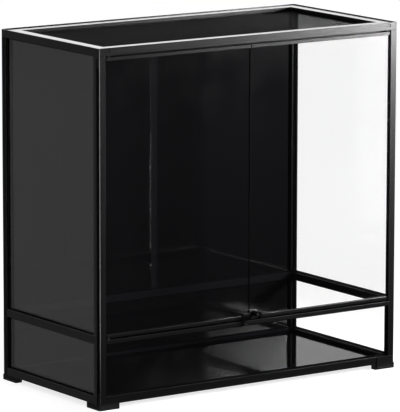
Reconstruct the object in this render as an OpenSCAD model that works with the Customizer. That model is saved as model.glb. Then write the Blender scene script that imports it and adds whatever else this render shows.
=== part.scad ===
// Tall front-opening reptile terrarium.
// Slotted aluminium frame on four corner feet, clear glass sides and doors,
// black back and floor boards, a lift-off screen top and a keyed cam lock.
// The origin is the middle of the plane that the feet stand on.
// X runs to the right, Y from the doors to the back, Z up. Millimetres.

/* [Cabinet] */
// Width over the frame
overall_w = 914; // [600:1:1220]
// Depth over the frame
overall_d = 450; // [350:1:620]
// Height from the ground to the top rails
overall_h = 904; // [600:1:1220]
// Height of the lower face of the middle rails above the ground
mid_rail_z = 167; // [110:1:260]

/* [Frame extrusions] */
// Width of every post and rail
profile_w = 20; // [18:0.5:30]
// Wall of the extrusions
profile_wall = 1.6; // [1.2:0.1:1.8]
// Radius of the outer corner of a post
post_corner_r = 5; // [2:0.5:6]
// Radius of the small edges of the rails
rail_edge_r = 0.8; // [0.4:0.1:1]
// Depth of a glazing slot
slot_depth = 6.4; // [5:0.2:6.8]
// Distance from the outer face of the frame to the middle of a pane
pane_line = 9; // [8:0.5:9.5]
// Height of the lip of the front middle rail under the doors
door_lip_h = 10; // [9:0.5:12]
// Height of the strip that the doors close against
stop_h = 10; // [8:0.5:11]
// Thickness of that strip
stop_t = 5; // [4:0.5:6]

/* [Feet and corners] */
// Height of a foot below the bottom rails
foot_drop = 14; // [8:1:25]
// Length of each arm of a foot
foot_arm = 60; // [45:1:80]
// Length of the sleeve of a top corner along the front
corner_sleeve = 42; // [36:1:60]
// Width of the snap window in that sleeve
window_w = 12; // [8:1:15]
// Height of the snap window
window_h = 8; // [5:0.5:9]

/* [Glazing] */
// Thickness of the glass
glass_t = 5; // [4:0.5:5]
// Thickness of the back and floor boards
board_t = 5; // [4:0.5:5]
// How far a pane or board reaches into its slot
pane_bite = 5; // [3.5:0.5:5]
// Visible width of the rubber seals round the panes
seal_w = 3; // [2:0.5:5]
// Height of the floor board above the foot of the bottom rails
floor_rise = 11; // [9:0.5:11]
// Width of the joint strip between the upper back boards
joint_strip_w = 20; // [16:1:30]

/* [Doors] */
// Height of the rails clamped on the glass
door_rail_h = 8.5; // [8:0.5:12]
// Depth of these rails
door_rail_d = 11; // [9:0.5:11.5]
// Distance from the end of a door to its pivot
pivot_inset = 8; // [6:0.5:9]
// Diameter of the pivot pins
pivot_d = 6; // [5:0.5:6]
// Gap over and under a door
door_gap = 4; // [3:0.5:5]
// Gap between a door and its post
post_gap = 3; // [2:0.5:5]
// Gap between the two doors
meeting_gap = 3; // [2:0.5:5]
// Width of the seal on the free edge of the left door
edge_seal_w = 1.6; // [1:0.2:1.8]

/* [Lock] */
// Diameter of the lock barrel
barrel_d = 13; // [12:0.5:16]
// How far the barrel stands out of the glass
barrel_out = 24; // [18:1:34]
// Diameter of the turning plug
plug_d = 9; // [8:0.5:9]
// Length of the cam
cam_l = 26; // [20:1:32]
// Width of the grip at the top of the pull
pull_w = 16; // [12:1:24]
// Distance from the free edge of the left door to that grip
pull_inset = 11; // [6:1:20]
// Height of the pull with its tongue
pull_l = 31; // [28:1:40]

/* [Screen top] */
// Height of the outer lip of the top rails over the screen
top_lip_h = 2.3; // [1:0.1:3]
// Thickness of that lip
top_lip_t = 2; // [1.6:0.1:3]
// Width of the border of the screen
screen_border = 23; // [18:1:32]
// Thickness of that border
screen_t = 13.3; // [11:0.1:13.5]
// Height of the stepped-back foot of the border
border_step_h = 4.8; // [3:0.2:6]
// Width of the ledge that carries the screen
ledge_w = 7; // [5:0.5:8]
// Thickness of the woven screen
mesh_t = 1; // [0.6:0.1:1.6]
// Gap between the screen and the ledge below it
seat_gap = 0.4; // [0.3:0.1:0.6]

/* [Hidden] */

$fn = 48;
cut = 1;
slot_play = 0.5;
fit_gap = 0.2;
run_gap = 0.05;

frame_black = [0.09, 0.09, 0.1];
moulded_black = [0.06, 0.06, 0.06];
board_black = [0.04, 0.04, 0.045];
rubber_black = [0.02, 0.02, 0.02];
clear_glass = [0.75, 0.85, 0.82, 0.3];
satin_steel = [0.6, 0.6, 0.62];
bright_chrome = [0.85, 0.85, 0.87];
screen_grey = [0.16, 0.16, 0.17];

half_w = overall_w / 2;
half_d = overall_d / 2;
rail_z = foot_drop;
top_z = overall_h - profile_w;
slot_w = glass_t + 2 * slot_play;
slot_x0 = pane_line - slot_w / 2;
slot_x1 = pane_line + slot_w / 2;
core_w = profile_w - max(slot_depth, ledge_w) - 2 * profile_wall;
top_core_h = profile_w - top_lip_h - slot_depth - 2 * profile_wall;
top_core_z = slot_depth + profile_wall;
spigot_w = core_w - 2 * fit_gap;
top_spigot_h = top_core_h - 2 * fit_gap;
spigot_l = 30;
strip_web = 2;
opening_w = overall_w - 2 * profile_w;
opening_d = overall_d - 2 * profile_w;
mid_top_z = mid_rail_z + profile_w;
lip_top_z = mid_rail_z + door_lip_h;

floor_top_z = rail_z + floor_rise;

door_z = lip_top_z + door_gap;
door_h = top_z - door_gap - door_z;
door_w = (opening_w - 2 * post_gap - meeting_gap) / 2;
door_x = -half_w + profile_w + post_gap;
door_face_y = -half_d + 1;
door_mid_y = door_face_y + door_rail_d / 2;
pivot_x = door_x + pivot_inset;
pivot_block_l = pivot_inset + pivot_d / 2 + 2;
door_web = 2.5;
door_channel_w = glass_t + 2 * fit_gap;
bush_body_r = 4.4;
bush_flange_r = 5;
bush_depth = door_lip_h - slot_depth;
bush_flange_h = door_gap - 0.2;
stop_clear = pivot_inset + 4;
pin_clear = 0.5;

stem_wall = 1.2;
stem_d = plug_d - 1;
stem_bore_d = stem_d - 2 * stem_wall;
nut_flat = stem_d + 2 * stem_wall;
lock_axis_z = door_z + door_rail_h + nut_flat / 2 + 0.3;
lock_axis_x = meeting_gap / 2 + barrel_d / 2 + 1.2;
glass_front_y = door_mid_y - glass_t / 2;
glass_back_y = door_mid_y + glass_t / 2;
cam_y = -half_d + profile_w + 1.2;
cam_t = 2;
nut_t = 4;

window_x = profile_w + 1;
button_gap = 1.5;
window_z = top_z + top_core_z + (top_core_h - window_h) / 2;
screen_gap = 0.5;
screen_z = overall_h - top_lip_h - screen_t;
border_step_w = 3;
mesh_grip = 8;
mesh_z = screen_z + 1;
screen_x = half_w - profile_w + ledge_w - screen_gap;
screen_y = half_d - profile_w + ledge_w - screen_gap;

// ---- plan helpers ----------------------------------------------------------

// One corner of a square to be rounded away
module corner_cut(r) {
    if (r > 0) difference() {
        translate([-cut, -cut])
            square(r + cut);
        translate([r, r])
            circle(r);
    }
}

// Rectangle whose corners are rounded one by one, from the origin anticlockwise
module rounded_plate(w, h, radii) {
    difference() {
        square([w, h]);
        corner_cut(radii[0]);
        translate([w, 0])
            mirror([1, 0])
                corner_cut(radii[1]);
        translate([w, h])
            rotate(180)
                corner_cut(radii[2]);
        translate([0, h])
            mirror([0, 1])
                corner_cut(radii[3]);
    }
}

// Sets a drawing made for the left front corner at any of the four corners
module at_corner(right = false, back = false) {
    mirror([right ? 1 : 0, 0, 0])
        mirror([0, back ? 1 : 0, 0])
            translate([-half_w, -half_d, 0])
                children();
}

// Extrudes a section along X: drawing X becomes Y, drawing Y becomes Z
module along_x(length) {
    rotate([90, 0, 90])
        linear_extrude(length)
            children();
}

// Extrudes a section along Y: drawing X stays X, drawing Y becomes Z
module along_y(length) {
    translate([0, length, 0])
        rotate([90, 0, 0])
            linear_extrude(length)
                children();
}

// ---- extruded sections, drawn from the outside of the cabinet inwards -------

rail_edges = [rail_edge_r, rail_edge_r, rail_edge_r, rail_edge_r];
chamber_edges = [0.6, 0.6, 0.6, 0.6];

// Hollow core in the outer corner of a section
module core() {
    translate([profile_wall, profile_wall])
        rounded_plate(core_w, core_w, chamber_edges);
}

// Hollow core of a top rail, above its slot
module top_core() {
    translate([profile_wall, top_core_z])
        rounded_plate(core_w, top_core_h, chamber_edges);
}

// Corner post: large outer radius, core, two glazing slots and a screw port
module post_section() {
    inner = profile_w - slot_depth;
    port_r = 1.3;
    port = profile_w - profile_wall - port_r;
    difference() {
        rounded_plate(profile_w, profile_w,
            [post_corner_r, rail_edge_r, rail_edge_r, rail_edge_r]);
        core();
        translate([inner, slot_x0])
            square([slot_depth + cut, slot_w]);
        translate([slot_x0, inner])
            square([slot_w, slot_depth + cut]);
        translate([port, port])
            circle(port_r);
    }
}

// Bottom rail: glazing slot on top, board slot on the inside
module bottom_rail_section() {
    difference() {
        rounded_plate(profile_w, profile_w, rail_edges);
        core();
        translate([slot_x0, profile_w - slot_depth])
            square([slot_w, slot_depth + cut]);
        translate([profile_w - slot_depth, floor_rise - board_t - slot_play])
            square([slot_depth + cut, board_t + 2 * slot_play]);
    }
}

// Middle rail: glazing slots above and below, a chamber on each side
module mid_rail_section() {
    chambers = [[profile_wall, slot_x0 - profile_wall],
                [slot_x1 + profile_wall, profile_w - profile_wall]];
    difference() {
        rounded_plate(profile_w, profile_w, rail_edges);
        translate([slot_x0, -cut])
            square([slot_w, slot_depth + cut]);
        translate([slot_x0, profile_w - slot_depth])
            square([slot_w, slot_depth + cut]);
        for (span = chambers)
            translate([span[0], profile_wall])
                rounded_plate(span[1] - span[0], profile_w - 2 * profile_wall, chamber_edges);
    }
}

// Low rail under the doors: a slot for the front pane in its lower face
module door_lip_section() {
    difference() {
        rounded_plate(profile_w, door_lip_h, rail_edges);
        translate([slot_x0, -cut])
            square([slot_w, slot_depth + cut]);
    }
}

// Top rail: outer lip, ledge for the screen, core, and a slot below for a pane
module top_rail_section(slotted) {
    seat_depth = top_lip_h + screen_t + seat_gap;
    difference() {
        rounded_plate(profile_w, profile_w, rail_edges);
        translate([top_lip_t, profile_w - top_lip_h])
            square([profile_w, top_lip_h + cut]);
        translate([profile_w - ledge_w, profile_w - seat_depth])
            square([ledge_w + cut, seat_depth + cut]);
        top_core();
        if (slotted)
            translate([slot_x0, -cut])
                square([slot_w, slot_depth + cut]);
    }
}

// ---- frame -----------------------------------------------------------------

module post(right, back) {
    color(frame_black)
        at_corner(right, back)
            translate([0, 0, rail_z])
                linear_extrude(top_z - rail_z)
                    post_section();
}

// Rail on the left or right, between the posts
module side_rail(z, right) {
    color(frame_black)
        at_corner(right, false)
            translate([0, profile_w, z])
                along_y(opening_d)
                    children();
}

// Rail at the front or back, between the posts
module cross_rail(z, back, inset = profile_w) {
    color(frame_black)
        at_corner(false, back)
            translate([inset, 0, z])
                along_x(overall_w - 2 * inset)
                    children();
}

// Hole for the body of a pivot bush, up from the given height
module bush_seat(z) {
    translate([pivot_x + half_w, door_mid_y + half_d, z])
        cylinder(r = bush_body_r + run_gap, h = bush_depth + cut);
}

module mid_rail_front() {
    difference() {
        cross_rail(mid_rail_z, false)
            door_lip_section();
        for (right = [false, true])
            at_corner(right, false)
                bush_seat(lip_top_z - bush_depth);
    }
}

module top_rail_front() {
    cross_rail(top_z, false, corner_sleeve)
        top_rail_section(false);
    color(frame_black)
        for (right = [false, true])
            snap_tongue(right, false);
}

module top_rail_back() {
    cross_rail(top_z, true, corner_sleeve)
        top_rail_section(true);
    color(frame_black)
        for (right = [false, true])
            snap_tongue(right, true);
}

// Plug in the end of a top rail; its tongue and button snap into the corner sleeve
module snap_tongue(right, back) {
    reach = corner_sleeve - window_x;
    plug_l = 12;
    at_corner(right, back) {
        translate([corner_sleeve, profile_wall / 2, top_z + top_core_z - profile_wall / 2])
            cube([plug_l, core_w + profile_wall, top_core_h + profile_wall]);
        translate([corner_sleeve - reach + fit_gap, profile_wall + fit_gap,
                   top_z + top_core_z + fit_gap])
            cube([reach + cut, spigot_w, top_spigot_h]);
        translate([window_x + button_gap, profile_wall / 2, window_z + button_gap])
            cube([window_w - 2 * button_gap, profile_wall, window_h - 2 * button_gap]);
    }
}

// Three-way top corner: sleeve along the front, cap over the post, spigots inside
module top_corner(right, back) {
    color(frame_black)
        at_corner(right, back) {
            difference() {
                intersection() {
                    translate([0, 0, top_z])
                        along_x(corner_sleeve)
                            rounded_plate(profile_w, profile_w, rail_edges);
                    translate([0, 0, top_z])
                        linear_extrude(profile_w)
                            rounded_plate(corner_sleeve, profile_w,
                                [post_corner_r, 0, 0, rail_edge_r]);
                }
                // Sleeve bore and snap window
                translate([profile_w, 0, top_z])
                    along_x(corner_sleeve)
                        top_core();
                translate([window_x, -cut, window_z])
                    cube([window_w, profile_wall + 2 * cut, window_h]);
                // Outer lip and ledge of the screen
                translate([top_lip_t, top_lip_t, overall_h - top_lip_h])
                    cube([corner_sleeve, profile_w, top_lip_h + cut]);
                translate([profile_w - ledge_w, profile_w - ledge_w, screen_z - seat_gap])
                    cube([corner_sleeve, profile_w, screen_t + seat_gap + cut]);
                if (!back)
                    bush_seat(top_z - cut);
                // Pane slots
                translate([slot_x0, profile_w - slot_depth, top_z - cut])
                    cube([slot_w, slot_depth + cut, slot_depth + cut]);
                if (back)
                    translate([profile_w - slot_depth, slot_x0, top_z - cut])
                        cube([corner_sleeve, slot_w, slot_depth + cut]);
            }
            // Spigot down into the post
            translate([profile_wall + fit_gap, profile_wall + fit_gap, top_z - spigot_l])
                cube([spigot_w, spigot_w, spigot_l + cut]);
            // Spigot into the side rail
            translate([profile_wall + fit_gap, profile_w - cut,
                       top_z + top_core_z + fit_gap])
                cube([spigot_w, spigot_l + cut, top_spigot_h]);
        }
}

// Moulded foot: two arms under the rails and a spigot up into the post
module foot(right, back) {
    edge_r = 2;
    fillet_r = 6;
    screw_x = foot_arm - 14;
    screw_head_d = 8;
    screw_head_h = 5;
    color(moulded_black)
        at_corner(right, back) {
            difference() {
                linear_extrude(foot_drop)
                    union() {
                        rounded_plate(foot_arm, profile_w,
                            [post_corner_r, edge_r, edge_r, edge_r]);
                        rounded_plate(profile_w, foot_arm,
                            [post_corner_r, edge_r, edge_r, edge_r]);
                        difference() {
                            square(profile_w + fillet_r);
                            translate([profile_w + fillet_r, profile_w + fillet_r])
                                circle(fillet_r);
                        }
                    }
                // Screw recesses in the arms
                for (p = [[screw_x, pane_line], [pane_line, screw_x]])
                    translate([p[0], p[1], -cut])
                        cylinder(d = screw_head_d, h = screw_head_h + cut);
            }
            translate([profile_wall + fit_gap, profile_wall + fit_gap, foot_drop - cut])
                cube([spigot_w, spigot_w, spigot_l + cut]);
        }
}

// ---- glazing ---------------------------------------------------------------

// Pane on the left side; z0 and z1 are the edges of the clear opening
module side_pane(right, z0, z1) {
    color(clear_glass)
        at_corner(right, false)
            translate([pane_line - glass_t / 2, profile_w - pane_bite, z0 - pane_bite])
                cube([glass_t, opening_d + 2 * pane_bite, z1 - z0 + 2 * pane_bite]);
}

// Pane or board across the front or back
module cross_pane(back, x0, x1, z0, z1, t) {
    at_corner(false, back)
        translate([x0, pane_line - t / 2, z0])
            cube([x1 - x0, t, z1 - z0]);
}

lower_z0 = rail_z + profile_w;
lower_z1 = mid_rail_z;
upper_z0 = mid_top_z;
upper_z1 = top_z;

module glass_front_lower() {
    color(clear_glass)
        cross_pane(false, profile_w - pane_bite, overall_w - profile_w + pane_bite,
            lower_z0 - pane_bite, lower_z1 + pane_bite, glass_t);
}

// Two beads of rubber round a pane, one each side of the glass
module seal_beads(length, height, pane_t) {
    bead = slot_play + 0.7;
    difference() {
        translate([-pane_t / 2 - bead, 0, 0])
            cube([pane_t + 2 * bead, length, height]);
        translate([-profile_w, seal_w, seal_w])
            cube([2 * profile_w, length - 2 * seal_w, height - 2 * seal_w]);
        translate([-pane_t / 2, -cut, -cut])
            cube([pane_t, length + 2 * cut, height + 2 * cut]);
    }
}

module glass_seals() {
    color(rubber_black) {
        for (right = [false, true])
            for (band = [[lower_z0, lower_z1], [upper_z0, upper_z1]])
                at_corner(right, false)
                    translate([pane_line, profile_w, band[0]])
                        seal_beads(opening_d, band[1] - band[0], glass_t);
        at_corner(false, false)
            translate([overall_w - profile_w, pane_line, lower_z0])
                rotate(90)
                    seal_beads(opening_w, lower_z1 - lower_z0, glass_t);
    }
}

// Upper back board, from its post to the joint strip
module back_board(right) {
    color(board_black)
        mirror([right ? 1 : 0, 0, 0])
            cross_pane(true, profile_w - pane_bite, half_w - strip_web / 2 - fit_gap,
                upper_z0 - pane_bite, upper_z1 + pane_bite, board_t);
}

module back_board_lower() {
    color(board_black)
        cross_pane(true, profile_w - pane_bite, overall_w - profile_w + pane_bite,
            lower_z0 - pane_bite, lower_z1 + pane_bite, board_t);
}

// H-shaped strip over the joint of the upper back boards
module back_joint_strip() {
    flange_t = 1.5;
    height = upper_z1 - upper_z0;
    gap = board_t + 2 * fit_gap;
    color(frame_black)
        translate([0, half_d - pane_line, upper_z0])
            linear_extrude(height)
                union() {
                    square([strip_web, gap + flange_t], center = true);
                    for (side = [-1, 1])
                        translate([0, side * (gap + flange_t) / 2])
                            square([joint_strip_w, flange_t], center = true);
                }
}

module floor_board() {
    color(board_black)
        difference() {
            translate([-opening_w / 2 - pane_bite, -opening_d / 2 - pane_bite,
                       floor_top_z - board_t])
                cube([opening_w + 2 * pane_bite, opening_d + 2 * pane_bite, board_t]);
            for (right = [false, true])
                for (back = [false, true])
                    at_corner(right, back)
                        translate([0, 0, floor_top_z - board_t - cut])
                            cube([profile_w + fit_gap, profile_w + fit_gap, board_t + 2 * cut]);
        }
}

// ---- door stops and pivots ---------------------------------------------------

// Strip behind the doors, cut short beside the pivots
module door_stop(z) {
    x0 = pivot_x + half_w + stop_clear;
    color(frame_black)
        at_corner(false, false)
            translate([x0, profile_w - stop_t, z])
                along_x(overall_w - 2 * x0)
                    rounded_plate(stop_t, stop_h, [0, 0, rail_edge_r, rail_edge_r]);
}

// Flanged bush, its flange towards the door
module bush() {
    difference() {
        union() {
            translate([0, 0, -bush_depth])
                cylinder(r = bush_body_r, h = bush_depth);
            cylinder(r = bush_flange_r, h = bush_flange_h);
        }
        translate([0, 0, -bush_depth - cut])
            cylinder(d = pivot_d + 2 * run_gap, h = bush_depth + bush_flange_h + 2 * cut);
    }
}

module pivot_bushes() {
    color(satin_steel)
        for (side = [-1, 1]) {
            translate([side * pivot_x, door_mid_y, lip_top_z])
                bush();
            translate([side * pivot_x, door_mid_y, top_z])
                mirror([0, 0, 1])
                    bush();
        }
}

// ---- doors, drawn on the left ------------------------------------------------

module on_door(right) {
    mirror([right ? 1 : 0, 0, 0])
        translate([door_x, door_mid_y, door_z])
            children();
}

module door_glass(right) {
    bottom = door_web + fit_gap;
    color(clear_glass)
        difference() {
            on_door(right)
                translate([0, -glass_t / 2, bottom])
                    cube([door_w, glass_t, door_h - 2 * bottom]);
            if (right)
                translate([lock_axis_x, glass_front_y - cut, lock_axis_z])
                    rotate([-90, 0, 0])
                        cylinder(d = stem_d + 2 * fit_gap, h = glass_t + 2 * cut);
        }
}

// Channel that grips the edge of the glass, drawn with its web down
module door_channel_section() {
    difference() {
        translate([-door_rail_d / 2, 0])
            rounded_plate(door_rail_d, door_rail_h, rail_edges);
        translate([-door_channel_w / 2, door_web])
            square([door_channel_w, door_rail_h]);
    }
}

module door_rail(right, top) {
    color(frame_black)
        on_door(right)
            translate([pivot_block_l, 0, top ? door_h : 0])
                mirror([0, 0, top ? 1 : 0])
                    along_x(door_w - pivot_block_l)
                        door_channel_section();
}

// Block on the pivot corner of a door, with its pin
module pivot_block(top) {
    pin_l = door_gap + bush_depth - pin_clear;
    translate([0, 0, top ? door_h : 0])
        mirror([0, 0, top ? 1 : 0]) {
            along_x(pivot_block_l)
                door_channel_section();
            translate([pivot_inset, 0, -pin_l])
                cylinder(d = pivot_d, h = pin_l + door_web / 2);
        }
}

module door_pivots(right) {
    color(frame_black)
        on_door(right)
            for (top = [false, true])
                pivot_block(top);
}

// Rubber edge on the free side of the left door
module door_left_edge_seal() {
    color(rubber_black)
        on_door(false)
            translate([door_w, -glass_t / 2, door_rail_h])
                cube([edge_seal_w, glass_t, door_h - 2 * door_rail_h]);
}

// ---- lock on the right door, pull on the left ---------------------------------

// Cylinder along Y from y0 to y1 on the axis of the lock
module lock_round(d, y0, y1) {
    translate([lock_axis_x, y0, lock_axis_z])
        rotate([-90, 0, 0])
            cylinder(d = d, h = y1 - y0);
}

barrel_front_y = glass_front_y - barrel_out;
stem_back_y = cam_y - 0.3;
plug_front_y = barrel_front_y - 0.6;
plug_shoulder_y = door_face_y - 1;
key_gap = 0.2;
key_blade_t = 2;
key_blade_h = plug_d - 3;
key_bow_d = 18;
key_hole_d = 5;
key_reach = barrel_out - 7;

module key_slot(extra) {
    translate([lock_axis_x - key_blade_t / 2 - extra, barrel_front_y - cut,
               lock_axis_z - key_blade_h / 2 - extra])
        cube([key_blade_t + 2 * extra, key_reach + cut + extra, key_blade_h + 2 * extra]);
}

module lock_barrel() {
    color(bright_chrome)
        difference() {
            union() {
                lock_round(barrel_d, barrel_front_y, door_face_y - fit_gap);
                difference() {
                    lock_round(barrel_d, door_face_y - cut, glass_front_y);
                    // Flat that clears the door rail
                    translate([lock_axis_x - barrel_d, door_face_y - fit_gap,
                               door_z + door_rail_h + fit_gap - barrel_d])
                        cube([2 * barrel_d, door_rail_d, barrel_d]);
                }
                lock_round(stem_d, glass_front_y - cut, stem_back_y);
            }
            lock_round(plug_d + 2 * run_gap, barrel_front_y - cut, plug_shoulder_y);
            lock_round(stem_bore_d + 2 * run_gap, plug_shoulder_y - cut, stem_back_y + cut);
        }
}

module lock_nut() {
    color(satin_steel)
        difference() {
            translate([lock_axis_x, glass_back_y, lock_axis_z])
                rotate([-90, 0, 0])
                    cylinder(d = nut_flat / cos(30), h = nut_t, $fn = 6);
            lock_round(stem_d, glass_back_y - cut, glass_back_y + nut_t + cut);
        }
}

module lock_plug() {
    color(satin_steel)
        difference() {
            union() {
                lock_round(plug_d, plug_front_y, plug_shoulder_y - run_gap);
                lock_round(stem_bore_d, plug_shoulder_y - cut, cam_y);
            }
            key_slot(key_gap);
        }
}

// Flat cam behind the door, lying along the door when the lock is open
module lock_cam() {
    boss_d = 11;
    arm_w = 8;
    arm_l = cam_l - arm_w / 2;
    color(satin_steel)
        translate([lock_axis_x, cam_y, lock_axis_z])
            rotate([-90, 0, 0])
                linear_extrude(cam_t)
                    union() {
                        circle(d = boss_d);
                        translate([0, -arm_w / 2])
                            square([arm_l, arm_w]);
                        translate([arm_l, 0])
                            circle(d = arm_w);
                    }
}

// Flat key: round bow with a ring hole, blade in the plug
module lock_key() {
    bow_back_y = plug_front_y - key_gap;
    bow_y = bow_back_y - key_bow_d / 2;
    hole_y = bow_y - key_bow_d / 5;
    color(bright_chrome)
        translate([lock_axis_x - key_blade_t / 2, 0, lock_axis_z])
            union() {
                difference() {
                    translate([0, bow_y, 0])
                        rotate([0, 90, 0])
                            cylinder(d = key_bow_d, h = key_blade_t);
                    translate([-cut, hole_y, 0])
                        rotate([0, 90, 0])
                            cylinder(d = key_hole_d, h = key_blade_t + 2 * cut);
                }
                translate([0, bow_y, -key_blade_h / 2])
                    cube([key_blade_t, barrel_front_y + key_reach - bow_y, key_blade_h]);
            }
}

// Pull on the glass: grip above, tongue down over the door rail to a finger toe
module lock_pull() {
    grip_h = 10;
    grip_out = 15;
    grip_r = 3;
    tongue_w = 10;
    tongue_t = 4;
    toe_t = 3;
    toe_out = 7;
    front_gap = 1;
    x = -meeting_gap / 2 - pull_inset - pull_w / 2;
    top = door_z + door_rail_h + fit_gap + grip_h;
    bottom = top - pull_l;
    tongue_y = -half_d - front_gap - tongue_t;
    color(moulded_black)
        translate([x, 0, 0]) {
            // Grip seated on the glass
            translate([-pull_w / 2, glass_front_y - grip_out, top - grip_h])
                along_x(pull_w)
                    rounded_plate(grip_out, grip_h, [grip_r, 0, 0, grip_r]);
            // Tongue down in front of the rails
            translate([-tongue_w / 2, tongue_y, bottom])
                along_x(tongue_w)
                    rounded_plate(tongue_t, pull_l - 1, [0, 1, 1, 2]);
            // Toe for the finger
            translate([-tongue_w / 2, tongue_y - toe_out, bottom])
                along_x(tongue_w)
                    rounded_plate(toe_out + tongue_t / 2, toe_t, [1, 0, 0, 1]);
            // Rib that seats on the door rail
            translate([-tongue_w / 2, tongue_y + tongue_t / 2, door_z + 1])
                cube([tongue_w, door_face_y - tongue_y - tongue_t / 2, door_rail_h - 2]);
        }
}

// ---- screen top --------------------------------------------------------------

// Mitred slab along X, its outer edge on the X axis
module mitred_slab(length, width, z0, z1) {
    translate([0, 0, z0])
        linear_extrude(z1 - z0)
            polygon([[0, 0], [length, 0], [length - width, width], [width, width]]);
}

// Mitred bar of the border: stepped back below, grooved for the mesh
module border_bar(length) {
    foot_w = screen_border - border_step_w;
    difference() {
        union() {
            mitred_slab(length, foot_w, screen_z, screen_z + border_step_h + cut);
            mitred_slab(length, screen_border, screen_z + border_step_h, screen_z + screen_t);
        }
        translate([0, foot_w - mesh_grip, mesh_z - run_gap])
            cube([length, screen_border, mesh_t + 2 * run_gap]);
    }
}

module border_cross(back) {
    color(frame_black)
        mirror([0, back ? 1 : 0, 0])
            translate([-screen_x, -screen_y, 0])
                border_bar(2 * screen_x);
}

module border_side(right) {
    color(frame_black)
        mirror([right ? 1 : 0, 0, 0])
            translate([-screen_x, -screen_y, 0])
                mirror([1, -1, 0])
                    border_bar(2 * screen_y);
}

module screen_mesh() {
    edge = screen_border - border_step_w - mesh_grip + screen_gap;
    color(screen_grey)
        translate([-screen_x + edge, -screen_y + edge, mesh_z])
            cube([2 * screen_x - 2 * edge, 2 * screen_y - 2 * edge, mesh_t]);
}

// ---- nodes -------------------------------------------------------------------

post(false, false);  // post_front_left
post(true, false);  // post_front_right
post(false, true);  // post_back_left
post(true, true);  // post_back_right
cross_rail(rail_z, false) bottom_rail_section();  // bottom_rail_front
cross_rail(rail_z, true) bottom_rail_section();  // bottom_rail_back
side_rail(rail_z, false) bottom_rail_section();  // bottom_rail_left
side_rail(rail_z, true) bottom_rail_section();  // bottom_rail_right
mid_rail_front();
cross_rail(mid_rail_z, true) mid_rail_section();  // mid_rail_back
side_rail(mid_rail_z, false) mid_rail_section();  // mid_rail_left
side_rail(mid_rail_z, true) mid_rail_section();  // mid_rail_right
top_rail_front();
top_rail_back();
side_rail(top_z, false) top_rail_section(true);  // top_rail_left
side_rail(top_z, true) top_rail_section(true);  // top_rail_right
top_corner(false, false);  // top_corner_front_left
top_corner(true, false);  // top_corner_front_right
top_corner(false, true);  // top_corner_back_left
top_corner(true, true);  // top_corner_back_right
foot(false, false);  // foot_front_left
foot(true, false);  // foot_front_right
foot(false, true);  // foot_back_left
foot(true, true);  // foot_back_right
side_pane(false, upper_z0, upper_z1);  // glass_left_upper
side_pane(false, lower_z0, lower_z1);  // glass_left_lower
side_pane(true, upper_z0, upper_z1);  // glass_right_upper
side_pane(true, lower_z0, lower_z1);  // glass_right_lower
glass_front_lower();
glass_seals();
back_board(false);  // back_board_left
back_board(true);  // back_board_right
back_board_lower();
back_joint_strip();
floor_board();
door_stop(top_z - stop_h);  // door_stop_top
door_stop(lip_top_z);  // door_stop_bottom
pivot_bushes();
door_glass(false);  // door_left_glass
door_rail(false, true);  // door_left_top_rail
door_rail(false, false);  // door_left_bottom_rail
door_pivots(false);  // door_left_pivots
door_left_edge_seal();
door_glass(true);  // door_right_glass
door_rail(true, true);  // door_right_top_rail
door_rail(true, false);  // door_right_bottom_rail
door_pivots(true);  // door_right_pivots
lock_pull();
lock_barrel();
lock_nut();
lock_plug();
lock_cam();
lock_key();
border_cross(false);  // screen_border_front
border_cross(true);  // screen_border_back
border_side(false);  // screen_border_left
border_side(true);  // screen_border_right
screen_mesh();
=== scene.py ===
"""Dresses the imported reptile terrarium: finishes, front posts, woven screen, foot plate and studio."""
import math

import bmesh
import bpy
from bpy.props import FloatProperty, FloatVectorProperty, PointerProperty
from bpy.types import Operator, Panel, PropertyGroup
from mathutils import Matrix, Quaternion, Vector


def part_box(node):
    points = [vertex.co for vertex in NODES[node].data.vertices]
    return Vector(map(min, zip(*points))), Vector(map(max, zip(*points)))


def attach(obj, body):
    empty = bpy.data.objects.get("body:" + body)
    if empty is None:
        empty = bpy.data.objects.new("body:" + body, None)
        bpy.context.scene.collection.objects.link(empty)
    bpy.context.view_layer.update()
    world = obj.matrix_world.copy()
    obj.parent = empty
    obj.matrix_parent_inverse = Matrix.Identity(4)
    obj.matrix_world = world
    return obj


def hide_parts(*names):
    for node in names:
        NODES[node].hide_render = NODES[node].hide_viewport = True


bl_info = {
    "name": "Reptile Terrarium Finishes",
    "version": (1, 0, 0),
    "blender": (4, 5, 0),
    "location": "3D View > Sidebar > Terrarium",
    "description": "Finishes, woven screen and studio for a tall front-opening reptile terrarium",
    "category": "Object",
}

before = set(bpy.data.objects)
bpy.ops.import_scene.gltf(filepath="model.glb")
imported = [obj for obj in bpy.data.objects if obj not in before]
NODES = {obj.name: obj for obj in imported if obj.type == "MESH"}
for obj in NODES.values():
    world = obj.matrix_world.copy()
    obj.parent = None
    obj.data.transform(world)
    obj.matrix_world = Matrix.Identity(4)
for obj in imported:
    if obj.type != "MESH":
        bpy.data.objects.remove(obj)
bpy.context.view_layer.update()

SMOOTH_ANGLE = math.radians(35)

# How strongly the anodised skin shines when seen from the front; the lower level is painted shade on the
# back posts
SHEEN = 0.12
SHADED_SHEEN = 0.02

# Share of the light that a pane mirrors head on; the left panes mirror more than the same glass elsewhere,
# a painted reflection that lightens them
LEFT_MIRROR = 0.05
PLAIN_MIRROR = 0.022

# Glow of the cloths that only reflections see
BLACK_CLOTH = 0.02
GREY_CLOTH = 0.25


# ---- small helpers ---------------------------------------------------------


def linear(hex_colour):
    """An sRGB hex colour as linear RGBA."""
    parts = [int(hex_colour[i:i + 2], 16) / 255 for i in (1, 3, 5)]
    return tuple(c / 12.92 if c <= 0.04045 else ((c + 0.055) / 1.055) ** 2.4 for c in parts) + (1.0,)


def new_material(name):
    """An empty node material with its output; gives the tree and the output's surface socket."""
    material = bpy.data.materials.new(name)
    material.use_nodes = True
    material.node_tree.nodes.clear()
    output = material.node_tree.nodes.new("ShaderNodeOutputMaterial")
    return material, material.node_tree, output.inputs["Surface"]


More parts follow.
